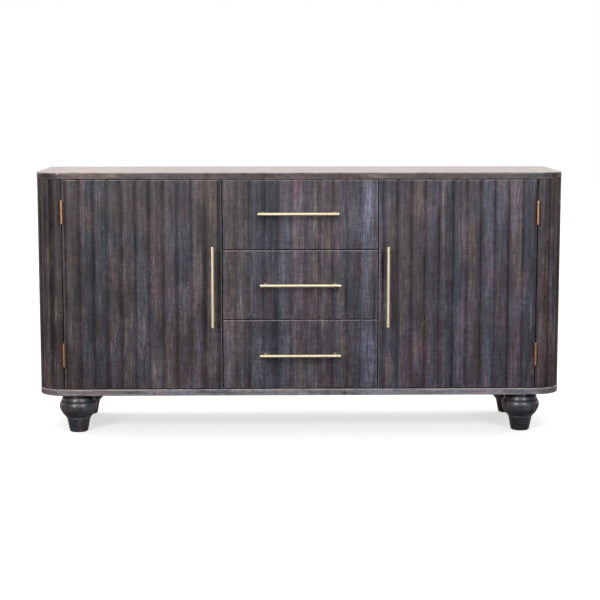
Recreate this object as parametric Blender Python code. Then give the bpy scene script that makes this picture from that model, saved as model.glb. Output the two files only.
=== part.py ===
"""Sideboard: two reeded doors either side of three reeded drawers.

It has rounded front corners, four turned feet, butt hinges and bar handles.
Metres, +Z up, +Y to the back. The doors and drawers face -Y.
The origin is on the floor, at the centre of the footprint with the handles.
"""

import math

import bmesh
import bpy
from mathutils import Matrix, Vector

# ---------------------------------------------------------------- dimensions
WIDTH = 1.600
DEPTH = 0.400
HEIGHT = 0.800
BOARD = 0.020
BOARD_EASE = 0.0015
FOOT_HEIGHT = 0.120
CORNER_RADIUS = 0.080
FIT = 0.0003
BEHIND_FRONT = 0.0005

BAR_RADIUS = 0.0045
BAR_LENGTH = 0.245
BAR_OUT = 0.030
POST_RADIUS = 0.004
POST_X = 0.106

FRONT_Y = (BAR_OUT + BAR_RADIUS - DEPTH) / 2
BACK_Y = FRONT_Y + DEPTH

BODY_Z0 = FOOT_HEIGHT + BOARD
BODY_Z1 = HEIGHT - BOARD

REED_PITCH = 0.0423
REED_DEPTH = 0.006
REED_STEPS = 10
COLUMN_GROOVE_RADIUS = 0.075
COLUMN_REEDS = 3
SHORTEST_STEP = 2e-4

FACE = 0.022
DOOR_GAP_X = 0.236
DOOR_GAP = 0.003
HINGE_X = 0.7185
HINGE_GAP = 0.0028
FRONT_Z0 = 0.1425
FRONT_Z1 = 0.7785
DRAWERS = ("bottom", "middle", "top")
DRAWER_HEIGHT = (FRONT_Z1 - FRONT_Z0 - 2 * DOOR_GAP) / 3
GROOVE_LEFT_DOOR = -0.2467
GROOVE_RIGHT_DOOR = 0.2540
GROOVE_DRAWERS = 0.0160

HANDLE_DOOR_X = 0.265
HANDLE_DOOR_Z = 0.456
HANDLE_DRAWER = {
    "bottom": (0.0, 0.2465),
    "middle": (0.0, 0.4610),
    "top": (-0.006, 0.6770),
}

HINGE_AXIS_Y = FRONT_Y - 0.002
HINGE_LENGTH = 0.070
HINGE_Z = {
    "left": {"lower": 0.2460, "upper": 0.6815},
    "right": {"lower": 0.2455, "upper": 0.6775},
}
KNUCKLES = 5
KNUCKLE_GAP = 0.0002
KNUCKLE_RADIUS = 0.0044
KNUCKLE_BORE = 0.00156
PIN_RADIUS = 0.0015
PIN_HEAD_RADIUS = 0.0032
LEAF_IN = 0.0005
LEAF_OUT = 0.0021
LEAF_FRONT = 0.005
LEAF_WIDTH = 0.020
TAB_Y = (0.0026, 0.0060)
POCKET_IN = 0.0002

PARTITION = 0.020
SIDE = 0.022
SHELF_Z0 = 0.450
SHELF = 0.018
SHELF_SETBACK = 0.020
SHELF_CORNER = 0.023
SHELF_NOTCH = 0.0035
SHELF_CLEAR = 0.0015
HOUSING = 0.006
RAIL_HEIGHT = 0.020
RAIL_DEPTH = 0.060
CATCH_X = (0.2675, 0.3125)
CATCH_FRONT = 0.0015
CATCH_DEPTH = 0.015
CATCH_HEIGHT = 0.014
BACK_INSET = 0.002
BACK_PANEL = 0.008
BACK_PANEL_Y = BACK_Y - BACK_INSET - BACK_PANEL

DRAWER_SIDE = 0.015
DRAWER_SIDE_X = 0.2240
DRAWER_BOX_RISE = 0.014
DRAWER_BOX_HEIGHT = 0.150
DRAWER_BOX_LENGTH = 0.335
DRAWER_BOTTOM_Z = 0.0100
DRAWER_BOTTOM = 0.006
DRAWER_BOTTOM_IN = 0.004
DRAWER_BACK = 0.012
DRAWER_BACK_INSET = 0.002
DRAWER_BACK_DROP = 0.005
RUNNER_HEIGHT = 0.016
RUNNER_REACH = 0.009
RUNNER_GROOVE = 0.008
RUNNER_ENDS = (0.008, 0.004)
GROOVE_CLEAR = 0.0005

FOOT_X = 0.684
FOOT_INSET = 0.061
FOOT_PROFILE_MM = (
    (24.0, 0.0),
    (27.2, 1.2),
    (28.8, 4.0),
    (31.0, 16.0),
    (33.2, 29.0),
    (36.4, 42.0),
    (37.6, 44.5),
    (39.6, 47.0),
    (46.0, 54.0),
    (53.2, 65.0),
    (57.0, 75.0),
    (58.0, 82.0),
    (56.6, 90.0),
    (53.6, 96.0),
    (51.4, 97.5),
    (51.0, 101.0),
    (49.4, 107.0),
    (46.0, 112.0),
    (44.6, 113.5),
    (44.6, 119.7),
)


# ----------------------------------------------------------------- materials
def make_material(name, color, roughness, metallic=0.0):
    material = bpy.data.materials.new(name)
    material.use_nodes = True
    shader = material.node_tree.nodes["Principled BSDF"]
    shader.inputs["Base Color"].default_value = (*color, 1.0)
    shader.inputs["Roughness"].default_value = roughness
    shader.inputs["Metallic"].default_value = metallic
    material.diffuse_color = (*color, 1.0)
    return material


LOOKS = {
    "stained": ((0.075, 0.068, 0.072), 0.42, 0.0),
    "inside": ((0.060, 0.052, 0.050), 0.60, 0.0),
    "raw": ((0.420, 0.300, 0.190), 0.65, 0.0),
    "brass": ((0.780, 0.610, 0.330), 0.28, 1.0),
    "copper": ((0.640, 0.400, 0.240), 0.30, 1.0),
    "black": ((0.020, 0.020, 0.022), 0.45, 0.0),
}


# -------------------------------------------------------------- mesh helpers
def new_object(name, points, faces, look):
    """One named piece from points and faces, with a material of its own."""
    mesh = bpy.data.meshes.new(name)
    mesh.from_pydata([tuple(point) for point in points], [], faces)
    shape = bmesh.new()
    shape.from_mesh(mesh)
    bmesh.ops.recalc_face_normals(shape, faces=shape.faces)
    shape.to_mesh(mesh)
    shape.free()
    mesh.materials.append(make_material(name + "_look", *LOOKS[look]))
    made = bpy.data.objects.new(name, mesh)
    bpy.context.scene.collection.objects.link(made)
    return made


def loft(name, rings, look):
    """Closed solid through rings of equal point count, capped at both ends."""
    count = len(rings[0])
    points = [point for ring in rings for point in ring]
    faces = [tuple(range(count)), tuple(range(len(points) - count, len(points)))]
    for level in range(len(rings) - 1):
        low = level * count
        for i in range(count):
            j = (i + 1) % count
            faces.append((low + i, low + j, low + count + j, low + count + i))
    return new_object(name, points, faces, look)


def upright(name, outline, z0, z1, look):
    """Outline in XY, carried from z0 to z1."""
    return loft(name, [[(x, y, z) for x, y in outline] for z in (z0, z1)], look)


def lengthwise(name, outline, y0, y1, look):
    """Outline in XZ, carried from y0 to y1."""
    return loft(name, [[(x, y, z) for x, z in outline] for y in (y0, y1)], look)


def block(name, xs, ys, zs, look):
    corners = [(xs[0], ys[0]), (xs[1], ys[0]), (xs[1], ys[1]), (xs[0], ys[1])]
    return upright(name, corners, zs[0], zs[1], look)


def circle(radius, steps, turn=0.0):
    angles = [2 * math.pi * (i + turn) / steps for i in range(steps)]
    return [(radius * math.cos(angle), radius * math.sin(angle)) for angle in angles]


def turned(name, profile, centre, steps, look):
    """Solid of revolution about a vertical axis, profile of (radius, z)."""
    rings = []
    for radius, z in profile:
        ring = circle(radius, steps)
        rings.append([(centre[0] + x, centre[1] + y, z) for x, y in ring])
    return loft(name, rings, look)


def rod(name, start, end, radius, steps, look):
    """Round bar between two points."""
    start, end = Vector(start), Vector(end)
    turn = (end - start).to_track_quat("Z", "Y")
    rings = []
    for place in (start, end):
        ring = circle(radius, steps, 0.5)
        rings.append([place + turn @ Vector((x, y, 0.0)) for x, y in ring])
    return loft(name, rings, look)


def combine(base, others, operation):
    """Joins others to base, or cuts them from it, and clears them away."""
    for other in others:
        modifier = base.modifiers.new(operation.lower(), "BOOLEAN")
        modifier.operation = operation
        modifier.solver = "EXACT"
        modifier.object = other
    bpy.context.view_layer.update()
    graph = bpy.context.evaluated_depsgraph_get()
    mesh = bpy.data.meshes.new_from_object(base.evaluated_get(graph))
    base.modifiers.clear()
    old = base.data
    looks = [material for material in old.materials]
    base.data = mesh
    mesh.materials.clear()
    mesh.materials.append(looks[0])
    mesh.polygons.foreach_set("material_index", [0] * len(mesh.polygons))
    bpy.data.meshes.remove(old)
    for other in others:
        bpy.data.objects.remove(other)
    return base


def smooth(made, angle=35.0):
    for polygon in made.data.polygons:
        polygon.use_smooth = True
    made.data.set_sharp_from_angle(angle=math.radians(angle))
    return made


def carried_by(name, place, members):
    """Empty on the joint's axis, with the pieces that move with it."""
    carrier = bpy.data.objects.new(name, None)
    carrier.location = place
    bpy.context.scene.collection.objects.link(carrier)
    for member in members:
        member.parent = carrier
        member.matrix_parent_inverse = Matrix.Translation(-Vector(place))
    return carrier


# --------------------------------------------------------------------- reeds
def reed_drop(offset, pitch=REED_PITCH):
    """How far the face lies behind the crest, at this offset from it."""
    radius = (pitch**2 / 4 + REED_DEPTH**2) / (2 * REED_DEPTH)
    return radius - math.sqrt(radius**2 - offset**2)


def face_drop(x, groove):
    """Drop of a reeded face at x, with grooves a pitch apart from groove."""
    return reed_drop((x - groove) % REED_PITCH - REED_PITCH / 2)


def reeded_edge(start, end, groove):
    """(x, drop) along a reeded face from start to end."""
    step = REED_PITCH / REED_STEPS
    first = math.floor((start - groove) / step) + 1
    last = math.ceil((end - groove) / step) - 1
    stops = [start] + [groove + step * i for i in range(first, last + 1)] + [end]
    kept = [stops[0]]
    for stop in stops[1:]:
        if stop - kept[-1] > SHORTEST_STEP:
            kept.append(stop)
    kept[-1] = end
    return [(x, face_drop(x, groove)) for x in kept]


def reeded_slab(name, x0, x1, groove, z0, z1):
    """Door or drawer front, flat at the back, reeded at the front."""
    outline = [(x, FRONT_Y + drop) for x, drop in reeded_edge(x0, x1, groove)]
    outline += [(x1, FRONT_Y + FACE), (x0, FRONT_Y + FACE)]
    return smooth(upright(name, outline, z0, z1, "stained"), 25.0)


# ------------------------------------------------------------------- carcass
def board_outline(inset):
    """Plan of the top and bottom boards, square behind, rounded in front."""
    radius = CORNER_RADIUS - inset
    cx, cy = WIDTH / 2 - CORNER_RADIUS, FRONT_Y + CORNER_RADIUS
    steps = 18
    right = []
    for i in range(steps + 1):
        angle = math.pi / 2 * i / steps
        right.append((cx + radius * math.sin(angle), cy - radius * math.cos(angle)))
    right.append((WIDTH / 2 - inset, BACK_Y - inset))
    return [(-x, y) for x, y in reversed(right)] + right


def board(name, z0, z1):
    ease = BOARD_EASE
    levels = ((z0, ease), (z0 + ease, 0.0), (z1 - ease, 0.0), (z1, ease))
    rings = [[(x, y, z) for x, y in board_outline(inset)] for z, inset in levels]
    return smooth(loft(name, rings, "stained"), 30.0)


def mirrored(outline, sign):
    return [(sign * x, y) for x, y in outline]


def corner_column(name, sign):
    """Quarter-round post: three reeds outside, a plain curve inside."""
    cx, cy = WIDTH / 2 - CORNER_RADIUS, FRONT_Y + CORNER_RADIUS
    half = math.pi / 2 / COLUMN_REEDS / 2
    sag = CORNER_RADIUS - COLUMN_GROOVE_RADIUS * math.cos(half)
    chord = COLUMN_GROOVE_RADIUS * math.sin(half)
    radius = (chord**2 + sag**2) / (2 * sag)
    sweep = math.asin(chord / radius)
    outer = []
    for reed in range(COLUMN_REEDS):
        middle = half * (2 * reed + 1)
        place = CORNER_RADIUS - radius
        for i in range(REED_STEPS + (reed == COLUMN_REEDS - 1)):
            angle = sweep * (2 * i / REED_STEPS - 1)
            out = place + radius * math.cos(angle)
            along = radius * math.sin(angle)
            x = out * math.sin(middle) + along * math.cos(middle)
            y = -out * math.cos(middle) + along * math.sin(middle)
            outer.append((cx + x, cy + y))
    inner = []
    steps = 12
    for i in range(steps + 1):
        angle = math.pi / 2 * (1 - i / steps)
        x = (CORNER_RADIUS - SIDE) * math.sin(angle)
        y = -(CORNER_RADIUS - SIDE) * math.cos(angle)
        inner.append((cx + x, cy + y))
    outline = mirrored(outer + inner, sign)
    made = upright(name, outline, BODY_Z0 + FIT, BODY_Z1 - FIT, "stained")
    return smooth(made, 25.0)


def side_panel(name, sign):
    """Reeded outside, with a groove inside for the shelf's end."""
    start = FRONT_Y + CORNER_RADIUS + FIT
    edge = reeded_edge(start, BACK_Y, FRONT_Y + CORNER_RADIUS)
    outline = [(WIDTH / 2 - drop, y) for y, drop in edge]
    outline += [(WIDTH / 2 - SIDE, BACK_Y), (WIDTH / 2 - SIDE, start)]
    z0, z1 = BODY_Z0 + FIT, BODY_Z1 - FIT
    made = upright(name, mirrored(outline, sign), z0, z1, "stained")
    inner = WIDTH / 2 - SIDE
    past = SIDE / 2
    xs = sorted((sign * (inner - past), sign * (inner + HOUSING)))
    ys = (start - past, BACK_PANEL_Y)
    zs = (SHELF_Z0 - FIT, SHELF_Z0 + SHELF + FIT)
    combine(made, [block(name + "_cut", xs, ys, zs, "stained")], "DIFFERENCE")
    return smooth(made, 25.0)


def partition(name, sign):
    """Upright between cupboard and drawers, grooved for the shelf."""
    near = DOOR_GAP_X - PARTITION / 2
    far = DOOR_GAP_X + PARTITION / 2
    low, high = SHELF_Z0 - FIT, SHELF_Z0 + SHELF + FIT
    outline = [
        (near, BODY_Z0 + FIT),
        (far, BODY_Z0 + FIT),
        (far, low),
        (far - HOUSING, low),
        (far - HOUSING, high),
        (far, high),
        (far, BODY_Z1 - FIT),
        (near, BODY_Z1 - FIT),
    ]
    y0, y1 = FRONT_Y + FACE + BEHIND_FRONT, BACK_PANEL_Y - FIT
    return lengthwise(name, mirrored(outline, sign), y0, y1, "inside")


def shelf(name, sign):
    """Cupboard shelf, its front corner cut to clear the corner column."""
    near = DOOR_GAP_X + PARTITION / 2 - HOUSING + FIT
    far = WIDTH / 2 - SIDE
    front = FRONT_Y + FACE + SHELF_SETBACK
    turn = FRONT_Y + CORNER_RADIUS
    outline = [
        (near, front),
        (far - SHELF_CORNER, front),
        (far - SHELF_CLEAR, turn - SHELF_CLEAR),
        (far - SHELF_CLEAR, turn + SHELF_NOTCH),
        (far + HOUSING - FIT, turn + SHELF_NOTCH),
        (far + HOUSING - FIT, BACK_PANEL_Y - FIT),
        (near, BACK_PANEL_Y - FIT),
    ]
    z0, z1 = SHELF_Z0, SHELF_Z0 + SHELF
    return upright(name, mirrored(outline, sign), z0, z1, "inside")


def drawer_z0(index):
    return FRONT_Z0 + index * (DRAWER_HEIGHT + DOOR_GAP)


def build_carcass():
    board("top_board", BODY_Z1, HEIGHT)
    board("bottom_board", FOOT_HEIGHT, BODY_Z0)
    inner = WIDTH / 2 - SIDE - FIT
    ys = (BACK_PANEL_Y, BACK_PANEL_Y + BACK_PANEL)
    zs = (BODY_Z0 + FIT, BODY_Z1 - FIT)
    block("back_panel", (-inner, inner), ys, zs, "inside")
    for side, sign in (("left", -1), ("right", 1)):
        corner_column("corner_" + side, sign)
        side_panel("side_" + side, sign)
        partition("partition_" + side, sign)
        shelf("shelf_" + side, sign)
        xs = sorted(sign * x for x in CATCH_X)
        y0 = FRONT_Y + FACE + CATCH_FRONT
        zs = (BODY_Z1 - CATCH_HEIGHT, BODY_Z1 - FIT)
        block("catch_" + side, xs, (y0, y0 + CATCH_DEPTH), zs, "black")
    reach = DOOR_GAP_X - PARTITION / 2 - FIT
    y0 = FRONT_Y + FACE + BEHIND_FRONT
    ys = (y0, y0 + RAIL_DEPTH)
    for name, index in (("rail_lower", 1), ("rail_upper", 2)):
        middle = drawer_z0(index) - DOOR_GAP / 2
        zs = (middle - RAIL_HEIGHT / 2, middle + RAIL_HEIGHT / 2)
        block(name, (-reach, reach), ys, zs, "inside")


def build_feet():
    profile = [(radius / 1000, z / 1000) for radius, z in FOOT_PROFILE_MM]
    for row, y in (
        ("front", FRONT_Y + FOOT_INSET),
        ("back", BACK_Y - FOOT_INSET),
    ):
        for side, sign in (("left", -1), ("right", 1)):
            name = "foot_" + row + "_" + side
            smooth(turned(name, profile, (sign * FOOT_X, y), 40, "stained"), 40.0)


# ------------------------------------------------------------------- handles
def bar_handle(name, x, z, groove, level):
    """Round bar on two round posts that stand on the reeded face."""
    bar_y = FRONT_Y - BAR_OUT
    half = BAR_LENGTH / 2
    if level:
        ends = [(x - half, bar_y, z), (x + half, bar_y, z)]
        feet = [(x - POST_X, z), (x + POST_X, z)]
    else:
        ends = [(x, bar_y, z - half), (x, bar_y, z + half)]
        feet = [(x, z - POST_X), (x, z + POST_X)]
    bar = rod(name, ends[0], ends[1], BAR_RADIUS, 24, "brass")
    posts = []
    for px, pz in feet:
        span = [px + POST_RADIUS * i / 8 for i in range(-8, 9)]
        stop = FRONT_Y + min(face_drop(at, groove) for at in span) - FIT
        start = (px, bar_y, pz)
        posts.append(rod(name + "_post", start, (px, stop, pz), POST_RADIUS, 20, "brass"))
    return smooth(combine(bar, posts, "UNION"), 40.0)


# -------------------------------------------------------------------- hinges
def knuckle_spans(z, own):
    """Heights of every second knuckle, starting from knuckle number own."""
    pitch = HINGE_LENGTH / KNUCKLES
    low = z - HINGE_LENGTH / 2
    return [
        (low + pitch * i + KNUCKLE_GAP, low + pitch * (i + 1) - KNUCKLE_GAP)
        for i in range(own, KNUCKLES, 2)
    ]


def hinge_leaf(name, axis_x, sign, z, own):
    """Leaf plate with its knuckles. sign is the side that it lies on."""
    xs = sorted((axis_x + sign * LEAF_IN, axis_x + sign * LEAF_OUT))
    ys = (HINGE_AXIS_Y + LEAF_FRONT, HINGE_AXIS_Y + LEAF_WIDTH)
    half = HINGE_LENGTH / 2 - KNUCKLE_GAP
    zs = (z - half, z + half)
    leaf = block(name, xs, ys, zs, "copper")
    tabs = []
    for z0, z1 in knuckle_spans(z, own):
        near = tuple(HINGE_AXIS_Y + y for y in TAB_Y)
        tabs.append(block(name + "_tab", xs, near, (z0, z1), "copper"))
    for z0, z1 in knuckle_spans(z, own):
        tube = knuckle_tube(name + "_knuckle", axis_x, z0, z1)
        tabs.append(tube)
    return smooth(combine(leaf, tabs, "UNION"), 40.0)


def knuckle_tube(name, axis_x, z0, z1):
    steps = 20
    outer = circle(KNUCKLE_RADIUS, steps)
    inner = circle(KNUCKLE_BORE, steps)
    points = []
    for ring in (outer, inner):
        for z in (z0, z1):
            points += [(axis_x + x, HINGE_AXIS_Y + y, z) for x, y in ring]
    faces = []
    for i in range(steps):
        j = (i + 1) % steps
        faces.append((i, j, steps + j, steps + i))
        faces.append((2 * steps + j, 2 * steps + i, 3 * steps + i, 3 * steps + j))
        faces.append((j, i, 2 * steps + i, 2 * steps + j))
        faces.append((steps + i, steps + j, 3 * steps + j, 3 * steps + i))
    return new_object(name, points, faces, "copper")


def hinge_pin(name, axis_x, z):
    half = HINGE_LENGTH / 2
    head = (
        (0.0018, half + 0.0024),
        (0.0028, half + 0.0018),
        (PIN_HEAD_RADIUS, half + 0.0010),
        (PIN_HEAD_RADIUS, half + KNUCKLE_GAP),
        (PIN_RADIUS, half + KNUCKLE_GAP),
    )
    profile = [(radius, z - level) for radius, level in head]
    profile += [(radius, z + level) for radius, level in reversed(head)]
    return smooth(turned(name, profile, (axis_x, HINGE_AXIS_Y), 20, "copper"), 40.0)


def leaf_pocket(name, axis_x, sign, z):
    """Cutter for the shallow recess that a leaf lies in."""
    xs = sorted((axis_x + sign * POCKET_IN, axis_x + sign * (LEAF_OUT + FIT)))
    past_front = REED_DEPTH + 0.004
    ys = (FRONT_Y - past_front, HINGE_AXIS_Y + LEAF_WIDTH + FIT)
    half = HINGE_LENGTH / 2 + FIT
    return block(name, xs, ys, (z - half, z + half), "stained")


# --------------------------------------------------------------------- doors
def build_door(side, sign, groove):
    near = DOOR_GAP_X + DOOR_GAP / 2
    far = HINGE_X - HINGE_GAP / 2
    x0, x1 = sorted((sign * near, sign * far))
    door = reeded_slab("door_" + side, x0, x1, groove, FRONT_Z0, FRONT_Z1)
    axis_x = sign * HINGE_X
    column = bpy.data.objects["corner_" + side]
    levels = HINGE_Z[side]
    cuts = [leaf_pocket("cut", axis_x, -sign, z) for z in levels.values()]
    smooth(combine(door, cuts, "DIFFERENCE"), 25.0)
    cuts = [leaf_pocket("cut", axis_x, sign, z) for z in levels.values()]
    smooth(combine(column, cuts, "DIFFERENCE"), 25.0)
    moving = [door]
    for place, z in levels.items():
        name = "hinge_" + side + "_" + place
        hinge_leaf(name + "_frame_leaf", axis_x, sign, z, 0)
        moving.append(hinge_leaf(name + "_door_leaf", axis_x, -sign, z, 1))
        hinge_pin(name + "_pin", axis_x, z)
    x = sign * HANDLE_DOOR_X
    name = "handle_door_" + side
    moving.append(bar_handle(name, x, HANDLE_DOOR_Z, groove, False))
    carried_by("hinge_axis_" + side, (axis_x, HINGE_AXIS_Y, FRONT_Z0), moving)


# ------------------------------------------------------------------- drawers
def drawer_side(name, sign, z0):
    """Side board: runner groove outside, groove for the bottom inside."""
    out, near = DRAWER_SIDE_X, DRAWER_SIDE_X - DRAWER_SIDE
    middle = z0 + DRAWER_BOX_HEIGHT / 2
    half = RUNNER_HEIGHT / 2 + GROOVE_CLEAR
    floor = out - RUNNER_GROOVE
    low = z0 + DRAWER_BOTTOM_Z
    high = low + DRAWER_BOTTOM + 2 * FIT
    outline = [
        (near, z0),
        (out, z0),
        (out, middle - half),
        (floor, middle - half),
        (floor, middle + half),
        (out, middle + half),
        (out, z0 + DRAWER_BOX_HEIGHT),
        (near, z0 + DRAWER_BOX_HEIGHT),
        (near, high),
        (near + DRAWER_BOTTOM_IN, high),
        (near + DRAWER_BOTTOM_IN, low),
        (near, low),
    ]
    y0 = FRONT_Y + FACE + FIT
    y1 = y0 + DRAWER_BOX_LENGTH
    return lengthwise(name, mirrored(outline, sign), y0, y1, "raw")


def build_drawer(which, index):
    z0 = drawer_z0(index)
    edge = DOOR_GAP_X - DOOR_GAP / 2
    name = "drawer_" + which
    front = reeded_slab(
        name + "_front", -edge, edge, GROOVE_DRAWERS, z0, z0 + DRAWER_HEIGHT
    )
    box_z = z0 + DRAWER_BOX_RISE
    y0 = FRONT_Y + FACE + FIT
    y1 = y0 + DRAWER_BOX_LENGTH
    near = DRAWER_SIDE_X - DRAWER_SIDE
    left = drawer_side(name + "_side_left", -1, box_z)
    right = drawer_side(name + "_side_right", 1, box_z)
    reach = near + DRAWER_BOTTOM_IN - FIT
    low = box_z + DRAWER_BOTTOM_Z + FIT
    zs = (low, low + DRAWER_BOTTOM)
    bottom = block(name + "_bottom", (-reach, reach), (y0, y1), zs, "raw")
    reach = near - FIT
    back_y = y1 - DRAWER_BACK_INSET - DRAWER_BACK
    ys = (back_y, back_y + DRAWER_BACK)
    zs = (zs[1] + FIT, box_z + DRAWER_BOX_HEIGHT - DRAWER_BACK_DROP)
    back = block(name + "_back", (-reach, reach), ys, zs, "raw")
    x, z = HANDLE_DRAWER[which]
    handle = bar_handle("handle_" + name, x, z, GROOVE_DRAWERS, True)
    pieces = [front, left, right, bottom, back, handle]
    carried_by("slide_" + which, (0.0, FRONT_Y, z0), pieces)
    wall = DOOR_GAP_X - PARTITION / 2 - FIT
    middle = box_z + DRAWER_BOX_HEIGHT / 2
    zs = (middle - RUNNER_HEIGHT / 2, middle + RUNNER_HEIGHT / 2)
    ys = (FRONT_Y + FACE + RUNNER_ENDS[0], BACK_PANEL_Y - RUNNER_ENDS[1])
    for side, sign in (("left", -1), ("right", 1)):
        xs = sorted((sign * wall, sign * (wall - RUNNER_REACH)))
        block("runner_" + which + "_" + side, xs, ys, zs, "raw")


# --------------------------------------------------------------------- build
for existing in list(bpy.data.objects):
    bpy.data.objects.remove(existing)

build_carcass()
build_feet()
build_door("left", -1, GROOVE_LEFT_DOOR)
build_door("right", 1, GROOVE_RIGHT_DOOR)
for number, drawer in enumerate(DRAWERS):
    build_drawer(drawer, number)
bpy.context.view_layer.update()
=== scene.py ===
"""Looks of a reeded sideboard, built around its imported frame.

Metres, in the row frame. Every mesh holds its own place and its object stays at
the origin, so a texture that reads object coordinates stays on its piece at
every pose, and runs on from one drawer front to the next at rest.
"""

import math

import bmesh
import bpy
import numpy as np
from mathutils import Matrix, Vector


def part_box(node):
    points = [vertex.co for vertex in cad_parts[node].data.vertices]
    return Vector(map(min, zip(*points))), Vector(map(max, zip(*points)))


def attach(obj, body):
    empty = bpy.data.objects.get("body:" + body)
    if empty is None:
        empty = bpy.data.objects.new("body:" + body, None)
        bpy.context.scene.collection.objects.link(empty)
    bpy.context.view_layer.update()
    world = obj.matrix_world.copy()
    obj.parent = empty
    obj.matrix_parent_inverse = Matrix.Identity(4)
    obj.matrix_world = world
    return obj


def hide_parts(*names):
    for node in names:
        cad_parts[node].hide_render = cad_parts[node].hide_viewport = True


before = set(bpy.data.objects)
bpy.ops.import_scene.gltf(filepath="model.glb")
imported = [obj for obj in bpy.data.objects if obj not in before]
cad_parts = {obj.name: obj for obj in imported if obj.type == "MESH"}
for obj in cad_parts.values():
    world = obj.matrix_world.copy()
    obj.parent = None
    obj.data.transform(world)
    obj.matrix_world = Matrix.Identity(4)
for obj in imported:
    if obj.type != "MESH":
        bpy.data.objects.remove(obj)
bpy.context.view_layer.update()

# ---------- dimensions
TOP_LOW, TOP_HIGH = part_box("top_board")
FRONT_Y = TOP_LOW.y
BACK_Y = TOP_HIGH.y
HALF_WIDTH = TOP_HIGH.x
FACE_BACK_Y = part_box("door_left")[1].y
# The two sides, and which way along X each one faces.
OUTWARD = {"left": -1, "right": 1}
# Clearance round a piece let into another, and how far a cut overshoots.
FIT_GAP = 0.0003
OVERCUT = 0.010

REED_PITCH = 0.0423
REED_DEPTH = 0.006
REED_RADIUS = (REED_PITCH**2 / 4 + REED_DEPTH**2) / (2 * REED_DEPTH)
REED_FILLET = 0.0012
CORNER_RADIUS = 0.080
COLUMN_GROOVE_RADIUS = 0.075
COLUMN_REEDS = 3
SIDE_THICKNESS = 0.022
# Where one groove between two reeds lies on each front.
GROOVE = {"left": -0.2467, "right": 0.2540, "drawers": 0.0160}
FACE_ARRIS = 0.0016
BOARD_ARRIS = 0.0022

BAR_RADIUS = 0.0045
POST_RADIUS = 0.0040
POST_REACH = 0.106
DRAWERS = ("bottom", "middle", "top")

KNUCKLES = 5
KNUCKLE_GAP = 0.0002
KNUCKLE_RADIUS = 0.0044
KNUCKLE_BORE = 0.0016
HINGE_HALF = 0.035
# Distances from the pin's axis: the leaf's two faces, then its two long edges.
LEAF_NEAR = 0.0005
LEAF_FAR = 0.0021
LEAF_FRONT = 0.005
LEAF_BACK = 0.020


# ---------- mesh helpers
def new_mesh(name, points, faces):
    mesh = bpy.data.meshes.new(name)
    mesh.from_pydata([tuple(point) for point in points], [], faces)
    shape = bmesh.new()
    shape.from_mesh(mesh)
    bmesh.ops.recalc_face_normals(shape, faces=shape.faces)
    shape.to_mesh(mesh)
    shape.free()
    return mesh


def new_object(name, data):
    made = bpy.data.objects.new(name, data)
    bpy.context.scene.collection.objects.link(made)
    return made


def new_solid(name, shape):
    """Object from one pair of points and faces."""
    return new_object(name, new_mesh(name, *shape))


def loft(rings):
    """Points and faces of a closed solid through rings of equal count."""
    count = len(rings[0])
    points = [point for ring in rings for point in ring]
    faces = [tuple(range(count)), tuple(range(len(points) - count, len(points)))]
    for level in range(len(rings) - 1):
        low = level * count
        for i in range(count):
            j = (i + 1) % count
            faces.append((low + i, low + j, low + count + j, low + count + i))
    return points, faces


def joined(parts):
    """One list of points and faces from several."""
    points, faces = [], []
    for some_points, some_faces in parts:
        start = len(points)
        points += list(some_points)
        faces += [tuple(start + i for i in face) for face in some_faces]
    return points, faces


def box_part(low, high):
    corners = [(low[0], low[1]), (high[0], low[1]), (high[0], high[1]), (low[0], high[1])]
    return loft([[(x, y, z) for x, y in corners] for z in (low[2], high[2])])


def eased_part(low, high, ease):
    """Box with all its edges chamfered."""
    x0, y0, z0 = low
    x1, y1, z1 = high
    rings = []
    for z, inset in ((z0, ease), (z0 + ease, 0.0), (z1 - ease, 0.0), (z1, ease)):
        a, b, c, d = x0 + inset, x1 - inset, y0 + inset, y1 - inset
        rings.append(
            [
                (a + ease, c, z), (b - ease, c, z), (b, c + ease, z), (b, d - ease, z),
                (b - ease, d, z), (a + ease, d, z), (a, d - ease, z), (a, c + ease, z),
            ]
        )
    return loft(rings)


def turned_part(base, direction, profile, steps):
    """Solid of revolution: profile of (radius, distance from base along direction)."""
    base = Vector(base)
    turn = Vector(direction).to_track_quat("Z", "Y")
    rings = []
    for radius, reach in profile:
        ring = []
        for i in range(steps):
            angle = 2 * math.pi * (i + 0.5) / steps
            spot = Vector((radius * math.cos(angle), radius * math.sin(angle), reach))
            ring.append(tuple(base + turn @ spot))
        rings.append(ring)
    return loft(rings)


def shade(made, angle):
    """Smooth faces, sharp where they turn by more than angle and round flat caps."""
    mesh = made.data
    for polygon in mesh.polygons:
        polygon.use_smooth = True
    mesh.set_sharp_from_angle(angle=math.radians(angle))
    caps = [polygon for polygon in mesh.polygons if polygon.loop_total > 4]
    for polygon in caps:
        for loop in polygon.loop_indices:
            mesh.edges[mesh.loops[loop].edge_index].use_edge_sharp = True


def cut_boxes(made, boxes):
    """Cuts plain boxes from a piece."""
    cutter = new_solid("cutter", joined([box_part(low, high) for low, high in boxes]))
    modifier = made.modifiers.new("cut", "BOOLEAN")
    modifier.operation = "DIFFERENCE"
    modifier.solver = "EXACT"
    modifier.object = cutter
    bpy.context.view_layer.update()
    graph = bpy.context.evaluated_depsgraph_get()
    mesh = bpy.data.meshes.new_from_object(made.evaluated_get(graph))
    made.modifiers.clear()
    made.data = mesh
    bpy.data.objects.remove(cutter)


def paint(made, name, values):
    """Stores one number per point, for the material to read."""
    layer = made.data.attributes.new(name, "FLOAT", "POINT")
    layer.data.foreach_set("value", np.asarray(values, dtype=np.float32))


def places(made):
    """Array of every point of a piece."""
    mesh = made.data
    flat = np.empty(len(mesh.vertices) * 3, np.float32)
    mesh.vertices.foreach_get("co", flat)
    return flat.reshape(-1, 3)


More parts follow.
